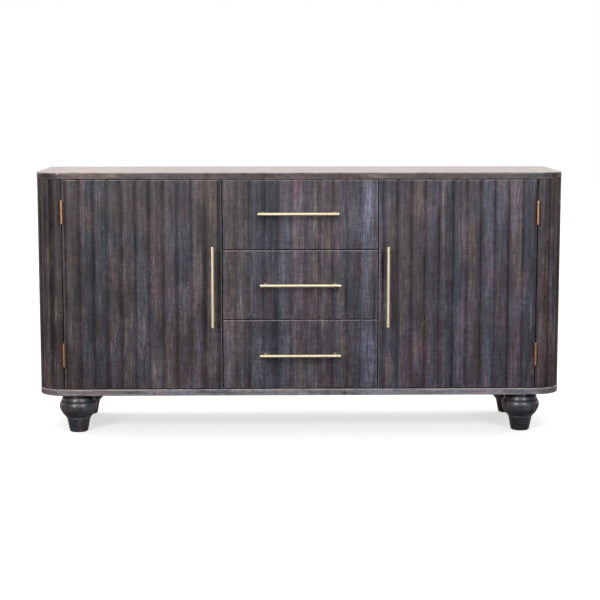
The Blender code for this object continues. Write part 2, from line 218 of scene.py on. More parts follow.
def finish_piece(made, body, material, stands_for=(), angle=32.0):
    """Shades a piece, gives it its material and its body, and hides the CAD nodes it stands for.
    """
    shade(made, angle)
    made.data.materials.clear()
    made.data.materials.append(material)
    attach(made, body)
    if stands_for:
        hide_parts(*stands_for)


# ---------- material helpers
class Graph:
    """Short way to write the nodes of one tree."""

    def __init__(self, tree):
        self.tree = tree

    def put(self, socket, value):
        if isinstance(value, bpy.types.NodeSocket):
            self.tree.links.new(value, socket)
        elif value is not None:
            socket.default_value = value

    def node(self, kind, **settings):
        made = self.tree.nodes.new(kind)
        for key, value in settings.items():
            setattr(made, key, value)
        return made

    def feed(self, kind, *values, **settings):
        """First output of a new node whose inputs take these values in order."""
        made = self.node(kind, **settings)
        for socket, value in zip(made.inputs, values):
            self.put(socket, value)
        return made.outputs[0]

    def math(self, operation, a, b=None):
        return self.feed("ShaderNodeMath", a, b, operation=operation)

    def add(self, a, b):
        return self.math("ADD", a, b)

    def times(self, a, b):
        return self.math("MULTIPLY", a, b)

    def levels(self, value, low, high, to_low=0.0, to_high=1.0):
        return self.feed("ShaderNodeMapRange", value, low, high, to_low, to_high, clamp=True)

    def split(self, vector):
        made = self.node("ShaderNodeSeparateXYZ")
        self.put(made.inputs[0], vector)
        return made.outputs

    def vector(self, x, y, z):
        return self.feed("ShaderNodeCombineXYZ", x, y, z)

    def stretch(self, vector, scale, shift=(0.0, 0.0, 0.0)):
        made = self.node("ShaderNodeMapping")
        self.put(made.inputs["Vector"], vector)
        made.inputs["Scale"].default_value = scale
        made.inputs["Location"].default_value = shift
        return made.outputs[0]

    def noise(self, vector, scale, detail=2.0, roughness=0.5, shift=(0.0, 0.0, 0.0)):
        made = self.node("ShaderNodeTexNoise")
        self.put(made.inputs["Vector"], self.stretch(vector, scale, shift))
        made.inputs["Scale"].default_value = 1.0
        made.inputs["Detail"].default_value = detail
        made.inputs["Roughness"].default_value = roughness
        return made.outputs[0]

    def cells(self, value, randomness):
        """Random numbers that stay the same along each uneven stretch of value."""
        made = self.node("ShaderNodeTexVoronoi", voronoi_dimensions="1D")
        self.put(made.inputs["W"], value)
        made.inputs["Scale"].default_value = 1.0
        made.inputs["Randomness"].default_value = randomness
        return self.split(made.outputs["Color"])

    def chance(self, value):
        """Three random numbers for each whole number."""
        made = self.node("ShaderNodeTexWhiteNoise", noise_dimensions="1D")
        self.put(made.inputs["W"], value)
        return self.split(made.outputs["Color"])

    def ramp(self, factor, stops):
        made = self.node("ShaderNodeValToRGB")
        self.put(made.inputs[0], factor)
        elements = made.color_ramp.elements
        while len(elements) < len(stops):
            elements.new(0.5)
        for element, (place, color) in zip(elements, stops):
            element.position = place
            element.color = (*color, 1.0)
        return made.outputs[0]

    def blend(self, factor, a, b, mode="MIX"):
        made = self.node("ShaderNodeMix", data_type="RGBA", blend_type=mode)
        self.put(made.inputs["Factor"], factor)
        for socket, value in ((made.inputs[6], a), (made.inputs[7], b)):
            self.put(socket, (*value, 1.0) if isinstance(value, tuple) else value)
        return made.outputs[2]

    def scaled(self, color, factor):
        """Colour times a number."""
        made = self.node("ShaderNodeVectorMath", operation="SCALE")
        self.put(made.inputs[0], color)
        self.put(made.inputs["Scale"], factor)
        return made.outputs[0]

    def attribute(self, name):
        return self.node("ShaderNodeAttribute", attribute_name=name).outputs["Fac"]

    def position(self, axes, seed):
        """Object coordinates as (across the grain, depth, along the grain)."""
        place = self.split(self.node("ShaderNodeTexCoord").outputs["Object"])
        x, y, z = (place["XYZ".index(axis)] for axis in axes)
        return self.stretch(
            self.vector(x, y, z), (1.0, 1.0, 1.0), (seed, 0.31 * seed, 1.7 * seed)
        )

    def patch(self, shape):
        """Soft ellipse on the front: 1 inside, 0 outside."""
        x, z, half_width, half_height = shape
        place = self.node("ShaderNodeTexCoord").outputs["Object"]
        size = (1.0 / half_width, 0.0, 1.0 / half_height)
        shift = (-x / half_width, 0.0, -z / half_height)
        reach = self.node("ShaderNodeVectorMath", operation="LENGTH")
        self.put(reach.inputs[0], self.stretch(place, size, shift))
        return self.levels(reach.outputs["Value"], 0.45, 1.0, 1.0, 0.0)


class Paint(Graph):
    """The graph of one new material."""

    def __init__(self, name):
        self.material = bpy.data.materials.new(name)
        self.material.use_nodes = True
        super().__init__(self.material.node_tree)
        self.shader = self.tree.nodes["Principled BSDF"]

    def bump(self, height, distance, strength):
        made = self.node("ShaderNodeBump")
        made.inputs["Strength"].default_value = strength
        made.inputs["Distance"].default_value = distance
        self.put(made.inputs["Height"], height)
        self.put(self.shader.inputs["Normal"], made.outputs[0])

    def done(self, color, roughness):
        self.put(self.shader.inputs["Base Color"], color)
        self.put(self.shader.inputs["Roughness"], roughness)
        return self.material


def srgb(red, green, blue):
    """Linear colour from the 0 to 255 values that a screen shows."""
    levels = []
    for value in (red, green, blue):
        share = value / 255
        low = share / 12.92
        levels.append(low if share <= 0.04045 else ((share + 0.055) / 1.055) ** 2.4)
    return tuple(levels)


# ---------- materials
CHARCOAL = srgb(44, 45, 52)
SLATE = srgb(62, 65, 79)
GREY = srgb(74, 71, 79)
PLUM = srgb(77, 63, 73)
UMBER = srgb(92, 78, 70)
OLIVE = srgb(83, 76, 70)
MAROON = srgb(96, 60, 64)
RUBBED = srgb(150, 132, 120)
PALE = srgb(142, 138, 146)
TAN = srgb(118, 97, 85)
FROST = srgb(104, 102, 118)
INDIGO = srgb(68, 68, 84)
STAIN_HUES = (
    (0.26, CHARCOAL),
    (0.37, SLATE),
    (0.47, GREY),
    (0.56, PLUM),
    (0.66, OLIVE),
    (0.78, UMBER),
)
INSIDE_HUES = ((0.30, srgb(44, 40, 40)), (0.52, srgb(62, 55, 53)), (0.72, srgb(84, 73, 66)))
RAW_HUES = ((0.28, srgb(142, 108, 76)), (0.50, srgb(178, 143, 106)), (0.72, srgb(203, 172, 134)))


def stained_wood(name, axes, seed, tone, wear=1.0, staves=(0.0, 0.095), **look):
    """Dark stained hardwood in glued staves, rubbed back, under satin lacquer.

    staves gives where one joint is, across the grain, and how wide a stave is.
    tone scales the whole stain, and wear the rubbed places, which on the marked
    arrises are partly a painted highlight. look may give groove, the share of tone
    left in the grooves, where the darkening is painted shade with gathered stain,
    cast, a tint over the whole piece, and accents, patches of (color, x, z, half
    width, half height, strength).
    """
    g = Paint(name)
    place = g.position(axes, seed)
    across, depth, along = g.split(place)
    joint, width = staves
    number = g.times(g.add(g.split(g.position(axes, 0.0))[0], -joint), 1.0 / width)
    stave = g.chance(g.add(g.math("FLOOR", number), seed))
    drift = g.levels(g.noise(place, (9, 9, 2.2)), 0, 1, -0.006, 0.006)
    curl = g.levels(g.noise(place, (48, 48, 24)), 0, 1, -0.0016, 0.0016)
    bent = g.add(across, g.add(drift, curl))
    grain = g.vector(bent, depth, g.add(along, g.times(stave[2], 3.0)))

    strip = g.cells(g.times(across, 17.0), 0.8)
    hue = g.noise(grain, (34, 16, 2.8), 4.0, 0.64)
    hue = g.add(hue, g.times(g.add(stave[0], -0.5), 0.18))
    hue = g.add(hue, g.times(g.add(strip[0], -0.5), 0.22))
    tint = g.ramp(hue, STAIN_HUES)
    broad = g.noise(grain, (170, 70, 7.0), 5.0, 0.68)
    for accent in look.get("accents", ()):
        hue_of, *shape, strength = accent
        mask = g.times(g.patch(shape), g.levels(broad, 0.38, 0.58, 0.35, 1.0))
        tint = g.blend(g.times(mask, strength), tint, hue_of)
    fleck = g.noise(grain, (300, 130, 46), 4.0, 0.64, (4.0, 0.0, 1.0))
    fine = g.noise(grain, (1000, 380, 24), 3.0, 0.6)
    saw = g.noise(place, (14, 14, 420), 2.0, 0.5)
    figure = g.noise(place, (34, 34, 110), 2.0, 0.5, (0.0, 2.0, 5.0))
    cloud = g.noise(place, (15, 15, 6.5), 4.0, 0.62, (3.1, 0.0, 7.7))
    # Darker in the grooves: painted shade, with some stain gathered there.
    hollow = g.times(g.attribute("hollow"), g.levels(cloud, 0.34, 0.62, 1.35, 0.70))
    # Each layer, the span it covers, and the brightness at its two ends.
    value = 1.0
    for layer, low, high, at_low, at_high in (
        (broad, 0.28, 0.72, 0.34, 1.84),
        (fleck, 0.28, 0.72, 0.52, 1.56),
        (fine, 0.25, 0.75, 0.80, 1.22),
        (saw, 0.30, 0.70, 0.87, 1.13),
        (figure, 0.30, 0.70, 0.76, 1.22),
        (cloud, 0.30, 0.70, 0.60, 1.42),
        (stave[1], 0.0, 1.0, 0.72, 1.28),
        (strip[1], 0.0, 1.0, 0.64, 1.32),
        (hollow, 0.0, 1.0, tone, look.get("groove", 0.58) * tone),
    ):
        value = g.times(value, g.levels(layer, low, high, at_low, at_high))
    blush = g.noise(grain, (60, 30, 7), 3.0, 0.6, (8.0, 3.0, 4.0))
    tint = g.blend(g.levels(blush, 0.56, 0.70, 0.0, 0.7), tint, MAROON)
    color = g.scaled(tint, value)

    open_face = g.levels(hollow, 0.0, 0.5, 1.0, 0.0)
    streak = g.noise(grain, (210, 80, 9.0), 5.0, 0.68, (5.0, 0.0, 2.0))
    rubbed = g.times(g.levels(streak, 0.54, 0.74, 0.0, 0.80 * wear), open_face)
    rubbed = g.times(rubbed, g.levels(cloud, 0.42, 0.64, 0.08, 1.0))
    color = g.blend(rubbed, color, g.blend(stave[0], RUBBED, PALE))
    # Lighter on the marked arrises and bands: wear, and partly a painted highlight where a top
    # arris or a bead catches the light.
    patch = g.noise(place, (70, 70, 30), 3.0, 0.6, (1.0, 4.0, 9.0))
    wear_and_sheen = g.times(g.attribute("wear_and_sheen"), g.levels(patch, 0.32, 0.56, 0.10, 0.92 * wear))
    color = g.blend(wear_and_sheen, color, g.blend(patch, PALE, RUBBED))
    speckle = g.noise(grain, (380, 200, 150), 3.0, 0.6, (6.0, 2.0, 3.0))
    speckle = g.times(g.levels(speckle, 0.56, 0.68, 0.0, 0.42), g.levels(cloud, 0.46, 0.60))
    color = g.blend(speckle, color, g.blend(stave[0], PALE, RUBBED))
    pores = g.noise(grain, (1300, 500, 60), 1.0, 0.5, (2.0, 1.0, 0.0))
    color = g.scaled(color, g.levels(pores, 0.60, 0.70, 1.0, 0.60))
    color = g.blend(1.0, color, look.get("cast", (1.0, 1.0, 1.0)), "MULTIPLY")

    rough = g.add(
        g.levels(broad, 0.3, 0.7, 0.50, 0.38), g.levels(saw, 0.3, 0.7, -0.04, 0.04)
    )
    height = g.add(g.times(fine, 0.4), g.add(g.times(broad, 0.5), g.times(saw, 0.2)))
    g.bump(g.add(height, g.times(fleck, 0.4)), 0.0006, 0.7)
    return g.done(color, rough)


def lacquer(material, weight, roughness):
    """A clear coat over a stained piece."""
    shader = material.node_tree.nodes["Principled BSDF"]
    shader.inputs["Coat Weight"].default_value = weight
    shader.inputs["Coat Roughness"].default_value = roughness


def finish_stained(made, body, node, material):
    finish_piece(made, body, material, (node,))


def inside_wood(name, axes, seed):
    """Matt dark stain on the parts behind the doors."""
    g = Paint(name)
    place = g.position(axes, seed)
    across, depth, along = g.split(place)
    drift = g.levels(g.noise(place, (8, 8, 2)), 0, 1, -0.008, 0.008)
    grain = g.vector(g.add(across, drift), depth, along)
    broad = g.noise(grain, (80, 40, 2.4), 4.0, 0.6)
    fine = g.noise(grain, (800, 300, 12), 3.0, 0.6)
    tint = g.ramp(broad, INSIDE_HUES)
    color = g.scaled(tint, g.levels(fine, 0.25, 0.75, 0.80, 1.20))
    g.bump(g.add(g.times(fine, 0.6), g.times(broad, 0.4)), 0.0005, 0.6)
    return g.done(color, g.levels(broad, 0.3, 0.7, 0.66, 0.54))


def raw_wood(name, axes, seed):
    """Plain unstained hardwood, sanded and oiled."""
    g = Paint(name)
    place = g.position(axes, seed)
    across, depth, along = g.split(place)
    drift = g.levels(g.noise(place, (9, 9, 2.2)), 0, 1, -0.010, 0.010)
    stave = g.cells(g.times(across, 12.0), 0.7)
    grain = g.vector(g.add(across, drift), depth, g.add(along, g.times(stave[2], 2.0)))
    broad = g.noise(grain, (90, 90, 2.6), 4.0, 0.6)
    fine = g.noise(grain, (850, 400, 14), 3.0, 0.6)
    tint = g.ramp(broad, RAW_HUES)
    value = g.times(g.levels(fine, 0.25, 0.75, 0.88, 1.10), g.levels(stave[1], 0, 1, 0.90, 1.08))
    pores = g.noise(grain, (1400, 500, 60), 1.0, 0.5, (2.0, 1.0, 0.0))
    color = g.scaled(g.scaled(tint, value), g.levels(pores, 0.60, 0.70, 1.0, 0.70))
    g.bump(g.add(g.times(fine, 0.6), g.times(broad, 0.3)), 0.0004, 0.6)
    return g.done(color, g.levels(broad, 0.3, 0.7, 0.62, 0.50))


def metal(name, axes, seed, colors, rough, metallic=1.0):
    """Brushed metal with a little tarnish. colors are (bright, tarnished)."""
    bright, dark = colors
    g = Paint(name)
    g.shader.inputs["Metallic"].default_value = metallic
    place = g.position(axes, seed)
    tarnish = g.noise(place, (90, 90, 34), 4.0, 0.6)
    brushed = g.noise(place, (2600, 2600, 40), 2.0, 0.5)
    color = g.blend(g.levels(tarnish, 0.38, 0.72, 0.0, 0.65), bright, dark)
    color = g.scaled(color, g.levels(brushed, 0.3, 0.7, 0.94, 1.04))
    g.bump(brushed, 0.00004, 0.5)
    dulled = g.levels(tarnish, 0.3, 0.75, rough, rough + 0.12)
    return g.done(color, g.add(dulled, g.levels(brushed, 0.3, 0.7, -0.02, 0.03)))


def moulded_plastic(name):
    """Black plastic with a fine grit and a little dust."""
    g = Paint(name)
    place = g.position("XYZ", 0.0)
    grit = g.noise(place, (2400, 2400, 2400), 2.0, 0.5)
    dust = g.noise(place, (60, 60, 60), 3.0, 0.6)
    color = g.blend(g.levels(dust, 0.45, 0.75, 0.0, 0.35), srgb(26, 26, 28), srgb(58, 56, 55))
    g.bump(grit, 0.00008, 0.6)
    return g.done(color, g.levels(grit, 0.3, 0.7, 0.40, 0.55))


BRASS = (srgb(246, 233, 202), srgb(228, 206, 164))
COPPER = (srgb(216, 166, 128), srgb(176, 118, 82))
FITTING_ROUGHNESS = 0.36
COPPER_ROUGHNESS = 0.34
BAR_ROUGHNESS = 0.44
BAR_METALLIC = 0.74
BAR_ANGLE = 28.0
FITTING_ANGLE = 30.0


def finish_brass(made, name, body, seed):
    """Small brass fitting that stands for no CAD node."""
    material = metal("brass_" + name, "XYZ", seed, BRASS, FITTING_ROUGHNESS)
    finish_piece(made, body, material, angle=FITTING_ANGLE)


def finish_copper(made, node, body, seed):
    """Hinge part that stands for its CAD node."""
    material = metal("copper_" + node, "XYZ", seed, COPPER, COPPER_ROUGHNESS)
    finish_piece(made, body, material, (node,), FITTING_ANGLE)


# ---------- carved reeds
PANEL_STEP = 0.020
REED_WANDER = 0.0005
HAND_CUT = 0.0002
ARRIS_RUB = 0.0020


def scatter(index, seed):
    """The same number from 0 to 1 for the same reed each run."""
    return np.modf(np.abs(np.sin(index * 12.9898 + seed * 4.1414)) * 43758.5453)[0]


def sway(index, z, seed):
    """Slow wander along a reed, from -1 to 1."""
    phase = 2 * math.pi * scatter(index, seed)
    other = 2 * math.pi * scatter(index, seed + 1.0)
    return 0.6 * np.sin(9.0 * z + phase) + 0.4 * np.sin(23.0 * z + other)


def edge_stops(arris):
    """Distances from an edge: close together round its arris."""
    turn = [arris * (1 - math.cos(math.pi / 8 * i)) for i in range(5)]
    return turn + [arris + 0.0010, arris + 0.0030]


def reed_stops(start, end, groove):
    """Places across a reeded face: close together in the grooves and at the ends."""
    fractions = [0.0, 0.009, 0.019, 0.029] + list(np.linspace(0.06, 0.94, 21))
    fractions += [0.971, 0.981, 0.991]
    first = math.floor((start - groove) / REED_PITCH)
    last = math.ceil((end - groove) / REED_PITCH)
    stops = [
        groove + REED_PITCH * (reed + share)
        for reed in range(first, last + 1)
        for share in fractions
    ]
    turn = edge_stops(FACE_ARRIS)
    clear = turn[-1] + FIT_GAP
    inside = [stop for stop in stops if start + clear < stop < end - clear]
    return np.array([start + t for t in turn] + inside + [end - t for t in reversed(turn)])


def reed_drop(stops, groove):
    """How far the carved face lies behind the crests."""
    offset = np.mod(stops - groove, REED_PITCH) - REED_PITCH / 2
    drop = REED_RADIUS - np.sqrt(REED_RADIUS**2 - offset**2)
    near = REED_PITCH / 2 - np.abs(offset)
    edge = REED_PITCH / 2 - REED_FILLET
    at_edge = REED_RADIUS - math.sqrt(REED_RADIUS**2 - edge**2)
    slope = edge / math.sqrt(REED_RADIUS**2 - edge**2)
    into = REED_FILLET - near
    soft = at_edge + slope * (into - into**2 / (2 * REED_FILLET))
    return np.where(near < REED_FILLET, soft, drop)


def rounded(distance, radius):
    """Extra drop of a rounded arris at this distance from the edge."""
    inside = np.clip(radius - distance, 0.0, radius)
    return radius - np.sqrt(radius**2 - inside**2)


def level_stops(z0, z1, arris, spacing):
    """Heights of the rings of a tall piece."""
    turn = edge_stops(arris)
    count = max(2, round((z1 - z0) / spacing))
    middle = list(np.linspace(z0 + arris, z1 - arris, count + 1))[1:-1]
    return [z0 + t for t in turn] + middle + [z1 - t for t in reversed(turn)]


def reeded_panel(name, face, place, arris, seed, back):
    """Closed slab, reeded on one side.

    face is (start, end, groove, low z, high z), and place(u, drop, z) puts a
    point of it in the room.
    """
    start, end, groove, z0, z1 = face
    stops = reed_stops(start, end, groove)
    reed = np.floor((stops - groove) / REED_PITCH)
    share = np.mod(stops - groove, REED_PITCH) / REED_PITCH
    drop = reed_drop(stops, groove)
    near = np.minimum(stops - start, end - stops)
    hold = np.clip((near - FACE_ARRIS) / 0.012, 0.0, 1.0)
    rings = []
    for z in level_stops(z0, z1, arris, PANEL_STEP):
        wander = (1 - share) * sway(reed, z, seed) + share * sway(reed + 1, z, seed)
        u = stops + REED_WANDER * hold * wander
        low = HAND_CUT * (1 + sway(reed, z, seed + 5.0)) * (1 - drop / REED_DEPTH)
        ends = rounded(min(z - z0, z1 - z), arris)
        depth = drop + low + rounded(near, FACE_ARRIS) + ends
        ring = [place(a, b, z) for a, b in zip(u, depth)]
        rings.append(ring + [place(end, back, z), place(start, back, z)])
    return new_solid(name, loft(rings))


def paint_panel(made, axis, face, depth_of):
    """Marks the grooves with painted shade and gathered stain, and the arrises with wear and,
    along the top, a painted highlight.
    """
    start, end, groove, z0, z1 = face
    points = places(made)
    u = points[:, axis]
    offset = np.mod(u - groove, REED_PITCH) - REED_PITCH / 2
    near = REED_PITCH / 2 - np.abs(offset)
    front = depth_of(points) < REED_DEPTH + 0.004
    # Painted shade with some gathered stain, darkest in each groove and reaching out by an
    # uneven width.
    flank = np.round((u - groove) / REED_PITCH) * 2 + (offset > 0)
    reach = 0.0032 + 0.0058 * scatter(flank, 2.0) ** 1.5
    reach = reach * (1 + 0.30 * sway(flank, points[:, 2], 4.0))
    paint(made, "hollow", np.exp(-((near / reach) ** 2)) * front)
    above, below = z1 - points[:, 2], points[:, 2] - z0
    side = np.minimum(u - start, end - u)
    # The top arris is marked most, wear with a painted highlight where it catches the light; the
    # bottom arris, in shade, is marked little.
    edge_rubs_and_sheen = ((above, 1.0), (below, 0.15), (side, 0.4))
    wear_and_sheen = sum(share * np.exp(-((far / ARRIS_RUB) ** 2)) for far, share in edge_rubs_and_sheen)
    paint(made, "wear_and_sheen", np.clip(wear_and_sheen, 0.0, 1.0) * front)


def build_front(node, body, groove, seed, material, pockets=()):
    """Reeded face of a door or a drawer."""
    low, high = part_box(node)

    def place(u, drop, z):
        return (u, FRONT_Y + drop, z)

    face = (low.x, high.x, groove, low.z, high.z)
    made = reeded_panel(node + "_face", face, place, FACE_ARRIS, seed, high.y - FRONT_Y)
    if pockets:
        cut_boxes(made, pockets)
    paint_panel(made, 0, face, lambda points: points[:, 1] - FRONT_Y)
    finish_stained(made, body, node, material)


# ---------- the fronts
DOOR_TONE = {"left": 0.58, "right": 0.73}
DOOR_CAST = {"left": (0.98, 1.0, 1.0), "right": (0.98, 1.02, 1.13)}
DRAWER_TONE = 0.66
# Share of tone left in the drawers' grooves: painted shade with gathered stain, lighter than on
# the doors.
DRAWER_GROOVE_TONE = 0.82
DRAWER_CAST = (0.98, 1.01, 1.05)
# The most visible patches: colour, x, z, half width, half height, strength.
ACCENTS = {
    "left": (
        (CHARCOAL, -0.66, 0.36, 0.08, 0.3, 0.5),
        (INDIGO, -0.375, 0.53, 0.034, 0.2, 0.55),
        (OLIVE, -0.545, 0.44, 0.042, 0.18, 0.7),
        (MAROON, -0.432, 0.52, 0.016, 0.24, 0.5),
        (TAN, -0.552, 0.685, 0.014, 0.09, 0.7),
        (TAN, -0.341, 0.66, 0.01, 0.13, 0.6),
        (TAN, -0.262, 0.69, 0.018, 0.12, 0.6),
        (UMBER, -0.43, 0.215, 0.03, 0.05, 0.6),
        (UMBER, -0.48, 0.7, 0.15, 0.095, 0.5),
        (FROST, -0.365, 0.6, 0.055, 0.13, 0.4),
        (CHARCOAL, -0.627, 0.52, 0.013, 0.3, 0.9),
        (CHARCOAL, -0.543, 0.33, 0.01, 0.15, 0.8),
        (CHARCOAL, -0.458, 0.6, 0.009, 0.22, 0.7),
        (CHARCOAL, -0.416, 0.44, 0.01, 0.26, 0.7),
        (CHARCOAL, -0.374, 0.4, 0.009, 0.26, 0.7),
        (CHARCOAL, -0.289, 0.44, 0.011, 0.2, 0.7),
    ),
    "right": (
        (TAN, 0.354, 0.69, 0.016, 0.11, 0.75),
        (OLIVE, 0.32, 0.56, 0.026, 0.16, 0.7),
        (TAN, 0.431, 0.68, 0.01, 0.12, 0.7),
        (UMBER, 0.428, 0.28, 0.012, 0.16, 0.6),
        (MAROON, 0.375, 0.27, 0.026, 0.05, 0.65),
        (TAN, 0.268, 0.205, 0.018, 0.06, 0.6),
        (TAN, 0.35, 0.27, 0.01, 0.06, 0.6),
    ),
    "top_board": (
        (TAN, -0.64, 0.79, 0.13, 0.1, 0.8),
        (UMBER, -0.25, 0.79, 0.16, 0.1, 0.45),
        (UMBER, 0.33, 0.79, 0.18, 0.1, 0.55),
        (CHARCOAL, 0.74, 0.79, 0.06, 0.1, 0.8),
    ),
    "bottom_board": (
        (UMBER, -0.63, 0.13, 0.11, 0.1, 0.6),
        (CHARCOAL, 0.75, 0.13, 0.05, 0.1, 0.6),
        (CHARCOAL, -0.775, 0.13, 0.04, 0.1, 0.6),
    ),
    "drawers": (
        (OLIVE, -0.195, 0.48, 0.052, 0.42, 0.7),
        (INDIGO, -0.127, 0.62, 0.032, 0.24, 0.6),
        (FROST, 0.184, 0.69, 0.062, 0.2, 0.8),
        (FROST, 0.192, 0.235, 0.052, 0.17, 0.6),
        (TAN, 0.047, 0.62, 0.012, 0.3, 0.75),
        (TAN, 0.092, 0.67, 0.011, 0.18, 0.7),
        (TAN, 0.127, 0.3, 0.013, 0.26, 0.5),
    ),
}


def leaf_pockets(side, of_door):
    """Boxes for the shallow recesses that the hinge leaves lie in."""
    boxes = []
    for level in ("lower", "upper"):
        kind = "_door_leaf" if of_door else "_frame_leaf"
        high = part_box("hinge_" + side + "_" + level + kind)[1]
        pin_low, pin_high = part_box("hinge_" + side + "_" + level + "_pin")
        axis = (pin_low.x + pin_high.x) / 2
        middle = (pin_low.z + pin_high.z) / 2
        toward = -OUTWARD[side] if of_door else OUTWARD[side]
        near, far = LEAF_NEAR - FIT_GAP, LEAF_FAR + FIT_GAP
        x0, x1 = sorted((axis + toward * near, axis + toward * far))
        half = HINGE_HALF + FIT_GAP
        boxes.append(
            ((x0, FRONT_Y - OVERCUT, middle - half), (x1, high.y + FIT_GAP, middle + half))
        )
    return boxes


def build_doors():
    for number, side in enumerate(OUTWARD):
        node = "door_" + side
        material = stained_wood(
            "stain_" + node, "XYZ", 1.3 + 2.9 * number, DOOR_TONE[side],
            staves=(GROOVE[side], REED_PITCH), cast=DOOR_CAST[side], accents=ACCENTS[side],
        )
        pockets = leaf_pockets(side, True)
        build_front(node, side + "_door", GROOVE[side], 3.0 + number, material, pockets)


def build_drawer_fronts():
    material = stained_wood(
        "stain_drawers", "XYZ", 7.45, DRAWER_TONE, staves=(GROOVE["drawers"], REED_PITCH),
        groove=DRAWER_GROOVE_TONE, cast=DRAWER_CAST, accents=ACCENTS["drawers"],
    )
    for which in DRAWERS:
        node = "drawer_" + which + "_front"
        build_front(node, which + "_drawer", GROOVE["drawers"], 8.0, material)


# ---------- columns and sides
COLUMN_TONE = {"left": 0.40, "right": 0.62}
COLUMN_CAST = {"left": (1.0, 1.01, 0.94), "right": (1.08, 0.97, 0.88)}
# Share of tone left in the column's grooves: painted shade.
COLUMN_GROOVE_TONE = 0.42
COLUMN_STEP = 0.025
# How far the painted shade reaches from a groove, and further beside the door.
COLUMN_SHADE = 0.005
COLUMN_SHADE_BY_DOOR = 0.009
SIDE_TONE = 0.66
PLAIN_ARRIS = 0.0004


def column_outline(z, seed):
    """Plan of the right-hand corner column, about the corner's centre."""
    half = math.pi / 2 / COLUMN_REEDS / 2
    sag = CORNER_RADIUS - COLUMN_GROOVE_RADIUS * math.cos(half)
    chord = COLUMN_GROOVE_RADIUS * math.sin(half)
    radius = (chord**2 + sag**2) / (2 * sag)
    sweep = math.asin(chord / radius)
    soft = REED_FILLET / radius
    outline = []

    def spot(reed, angle):
        middle = half * (2 * reed + 1)
        shrink = 1 - 0.0016 * (1 + sway(reed, z, seed))
        out = (CORNER_RADIUS - radius + radius * math.cos(angle)) * shrink
        along = radius * math.sin(angle)
        x = out * math.sin(middle) + along * math.cos(middle)
        y = -out * math.cos(middle) + along * math.sin(middle)
        return np.array((x, y))

    for reed in range(COLUMN_REEDS):
        low = -sweep if reed == 0 else soft - sweep
        high = sweep if reed == COLUMN_REEDS - 1 else sweep - soft
        outline += [spot(reed, angle) for angle in np.linspace(low, high, 23)]
        if reed < COLUMN_REEDS - 1:
            before = outline[-1]
            after = spot(reed + 1, soft - sweep)
            valley = (spot(reed, sweep) + spot(reed + 1, -sweep)) / 2
            for t in (0.25, 0.5, 0.75):
                curve = (1 - t) ** 2 * before + 2 * t * (1 - t) * valley + t**2 * after
                outline.append(curve)
    inner = CORNER_RADIUS - SIDE_THICKNESS
    for i in range(17):
        angle = math.pi / 2 * (1 - i / 16)
        outline.append(np.array((inner * math.sin(angle), -inner * math.cos(angle))))
    return outline


def build_columns():
    centre = np.array((HALF_WIDTH - CORNER_RADIUS, FRONT_Y + CORNER_RADIUS))
    for number, side in enumerate(OUTWARD):
        node = "corner_" + side
        sign = OUTWARD[side]
        low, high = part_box(node)
        rings = []
        for z in level_stops(low.z, high.z, PLAIN_ARRIS, COLUMN_STEP):
            outline = [centre + spot for spot in column_outline(z, 20.0 + number)]
            rings.append([(sign * x, y, z) for x, y in outline])
        made = new_solid(node + "_reeds", loft(rings))
        cut_boxes(made, leaf_pockets(side, False))
        points = places(made)
        east = np.abs(points[:, 0]) - centre[0]
        south = centre[1] - points[:, 1]
        radius = np.hypot(east, south)
        width = math.pi / 2 / COLUMN_REEDS
        turn = np.mod(np.arctan2(east, south), width)
        near = np.minimum(turn, width - turn) * radius
        outside = radius > CORNER_RADIUS - SIDE_THICKNESS + 0.006
        # Painted shade in the grooves, wider on the reed beside the door.
        beside_door = south > CORNER_RADIUS * math.cos(math.radians(8.0))
        reach = np.where(beside_door, COLUMN_SHADE_BY_DOOR, COLUMN_SHADE)
        paint(made, "hollow", np.exp(-((near / reach) ** 2)) * outside)
        paint(made, "wear_and_sheen", np.zeros(len(points)))
        material = stained_wood(
            "stain_" + node, "XYZ", 11.0 + 2.3 * number, COLUMN_TONE[side],
            cast=COLUMN_CAST[side], groove=COLUMN_GROOVE_TONE,
        )
        finish_stained(made, "carcass", node, material)


def build_sides():
    for number, side in enumerate(OUTWARD):
        node = "side_" + side
        sign = OUTWARD[side]
        low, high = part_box(node)
        groove = FRONT_Y + CORNER_RADIUS

        def place(u, drop, z, sign=sign):
            return (sign * (HALF_WIDTH - drop), u, z)

        face = (low.y, high.y, groove, low.z, high.z)
        made = reeded_panel(
            node + "_reeds", face, place, PLAIN_ARRIS, 30.0 + number, SIDE_THICKNESS
        )
        shelf_low, shelf_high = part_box("shelf_" + side)
        inner = HALF_WIDTH - SIDE_THICKNESS
        reach = abs(shelf_high.x if sign > 0 else shelf_low.x) + FIT_GAP
        x0, x1 = sorted((sign * (inner - OVERCUT), sign * reach))
        shelf_groove = (
            (x0, low.y - OVERCUT, shelf_low.z - FIT_GAP),
            (x1, shelf_high.y + FIT_GAP, shelf_high.z + FIT_GAP),
        )
        cut_boxes(made, [shelf_groove])
        paint_panel(made, 1, face, lambda points: HALF_WIDTH - np.abs(points[:, 0]))
        material = stained_wood(
            "stain_" + node, "YXZ", 16.0 + 2.1 * number, SIDE_TONE,
            staves=(groove, REED_PITCH),
        )
        finish_stained(made, "carcass", node, material)


# ---------- boards
BOARD_WEAR = 1.2
BOARD_COAT_ROUGHNESS = 0.10


def board_outline(inset):
    """Plan of a board, rounded at its two front corners."""
    radius = CORNER_RADIUS - inset
    cx, cy = HALF_WIDTH - CORNER_RADIUS, FRONT_Y + CORNER_RADIUS
    steps = 32
    right = []
    for i in range(steps + 1):
        angle = math.pi / 2 * i / steps
        right.append((cx + radius * math.sin(angle), cy - radius * math.cos(angle)))
    right.append((HALF_WIDTH - inset, BACK_Y - inset))
    return [(-x, y) for x, y in reversed(right)] + right


